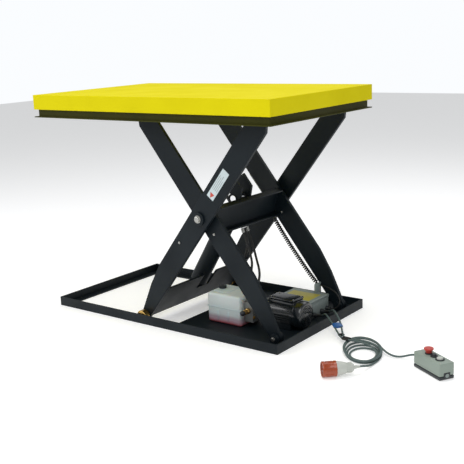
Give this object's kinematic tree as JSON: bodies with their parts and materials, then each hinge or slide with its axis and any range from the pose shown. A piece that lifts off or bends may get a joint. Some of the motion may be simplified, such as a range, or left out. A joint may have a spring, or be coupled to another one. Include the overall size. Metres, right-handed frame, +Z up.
{
  "type": "scissor lift table",
  "caption": "Electro-hydraulic scissor lift table with a skirted platform, crossed arms on a floor frame, a ram, a power pack, a pendant and a mains plug.",
  "frame": {"origin": "on the floor, at the middle of the four floor fixing holes of the base frame", "axes": "+X along the table towards the fixed pivots, +Y across it, +Z up"},
  "size_m": [1.9398, 0.8446, 1],
  "materials": {
    "table_yellow": "satin powder coat, slightly grained on top",
    "trip_olive": "satin",
    "black_steel": "semi-gloss dark paint",
    "pin_steel": "turned",
    "chrome_rod": "polished",
    "roller_brass": "turned",
    "tank_plastic": "translucent white",
    "alloy": "cast",
    "motor_paint": "satin",
    "box_grey": "smooth",
    "pendant_grey": "smooth",
    "dark_plastic": "smooth",
    "white_plastic": "smooth",
    "estop_red": "smooth",
    "plug_red": "smooth",
    "plug_light": "smooth",
    "cord_grey": "matt sheath",
    "cord_black": "matt",
    "pin_brass": "turned"
  },
  "bodies": {
    "base": {"base_rail_near": "black_steel", "base_rail_far": "black_steel", "base_end_left": "black_steel", "base_end_right": "black_steel", "power_tray": "black_steel", "base_pivot_lugs": "black_steel", "base_pivot_pins": "pin_steel", "oil_tank": "tank_plastic", "tank_cap": "dark_plastic", "valve_block": "alloy", "solenoid_valve": "dark_plastic", "hose_fittings": "pin_steel", "motor_body": "motor_paint", "fan_cover": "motor_paint", "motor_terminal_box": "box_grey", "control_box": "box_grey", "control_box_lid": "box_grey", "cable_glands": "dark_plastic", "curly_cord": "cord_black", "curly_tail": "cord_black", "hydraulic_hoses": "cord_black", "supply_cable": "cord_grey", "pendant_cable": "cord_grey", "cable_coil": "cord_grey", "pendant_base": "dark_plastic", "pendant_lid": "pendant_grey", "button_collars": "dark_plastic", "plug_shroud": "plug_red", "plug_pins": "pin_brass", "plug_body": "plug_light"},
    "inner_arms": {"inner_arm_near": "black_steel", "inner_arm_far": "black_steel", "centre_cross_member": "black_steel", "rod_bracket": "black_steel", "centre_pins": "pin_steel", "upper_roller_axles": "pin_steel", "cord_clip": "dark_plastic", "hose_loop": "cord_black"},
    "outer_arms": {"outer_arm_near": "black_steel", "outer_arm_far": "black_steel", "lower_cross_plate": "black_steel", "cylinder_pin": "pin_steel", "lower_roller_axles": "pin_steel"},
    "roller_low_near": {"lower_roller_near": "roller_brass"},
    "roller_low_far": {"lower_roller_far": "roller_brass"},
    "roller_top_near": {"upper_roller_near": "roller_brass"},
    "roller_top_far": {"upper_roller_far": "roller_brass"},
    "cylinder": {"cylinder_barrel": "black_steel", "cylinder_gland": "black_steel"},
    "ram": {"cylinder_rod": "chrome_rod"},
    "platform": {"platform_deck": "table_yellow", "top_rails": "black_steel", "top_pivot_lugs": "black_steel", "top_pivot_pins": "pin_steel", "trip_switches": "dark_plastic"},
    "trip_frame": {"trip_bars_long": "trip_olive", "trip_bars_short": "trip_olive"},
    "estop": {"estop_button": "estop_red"},
    "raise_key": {"raise_button": "dark_plastic"},
    "lower_key": {"lower_button": "white_plastic"}
  },
  "joints": [
    {"name": "lift", "type": "hinge", "parent": "base", "child": "inner_arms", "pos_m": [0.561, 0, 0.0313], "axis": [0, -1, 0], "range_deg": [0, 48.17], "deforming": ["curly_cord", "hydraulic_hoses"]},
    {"name": "scissor", "type": "hinge", "parent": "inner_arms", "child": "outer_arms", "pos_m": [0.22651, 0, 0.499], "axis": [0, 1, 0], "range_deg": [0, 96.35], "deforming": ["hose_loop"]},
    {"name": "platform_pivot", "type": "hinge", "parent": "outer_arms", "child": "platform", "pos_m": [0.561, 0, 0.9667], "axis": [0, -1, 0], "range_deg": [0, 48.18]},
    {"name": "cylinder_pivot", "type": "hinge", "parent": "outer_arms", "child": "cylinder", "pos_m": [-0.06558, 0, 0.0927], "axis": [0, -1, 0], "range_deg": [-1.84, 0]},
    {"name": "ram_slide", "type": "slide", "parent": "cylinder", "child": "ram", "axis": [0.5271, 0, 0.8498], "range_m": [-0.0595, 0]},
    {"name": "roller_low_near_spin", "type": "hinge", "parent": "outer_arms", "child": "roller_low_near", "pos_m": [-0.10797, 0, 0.0313], "axis": [0, 1, 0], "continuous": true},
    {"name": "roller_low_far_spin", "type": "hinge", "parent": "outer_arms", "child": "roller_low_far", "pos_m": [-0.10797, 0, 0.0313], "axis": [0, 1, 0], "continuous": true},
    {"name": "roller_top_near_spin", "type": "hinge", "parent": "inner_arms", "child": "roller_top_near", "pos_m": [-0.10797, 0, 0.9667], "axis": [0, 1, 0], "continuous": true},
    {"name": "roller_top_far_spin", "type": "hinge", "parent": "inner_arms", "child": "roller_top_far", "pos_m": [-0.10797, 0, 0.9667], "axis": [0, 1, 0], "continuous": true},
    {"name": "trip_lift", "type": "slide", "parent": "platform", "child": "trip_frame", "axis": [0, 0, 1], "range_m": [0, 0.012]},
    {"name": "estop_push", "type": "slide", "parent": "base", "child": "estop", "axis": [0, 0, -1], "range_m": [0, 0.004], "stiffness_N_per_m": 600, "springref_m": -0.003},
    {"name": "raise_push", "type": "slide", "parent": "base", "child": "raise_key", "axis": [0, 0, -1], "range_m": [0, 0.003], "stiffness_N_per_m": 400, "springref_m": -0.003},
    {"name": "lower_push", "type": "slide", "parent": "base", "child": "lower_key", "axis": [0, 0, -1], "range_m": [0, 0.003], "stiffness_N_per_m": 400, "springref_m": -0.003}
  ],
  "couplings": [
    {"joint": "scissor", "follows": "lift", "ratio": 2},
    {"joint": "platform_pivot", "follows": "lift", "ratio": 1},
    {"joint": "cylinder_pivot", "follows": "lift", "ratio": -0.038037},
    {"joint": "ram_slide", "follows": "lift", "m_per_rad": -0.070651}
  ]
}
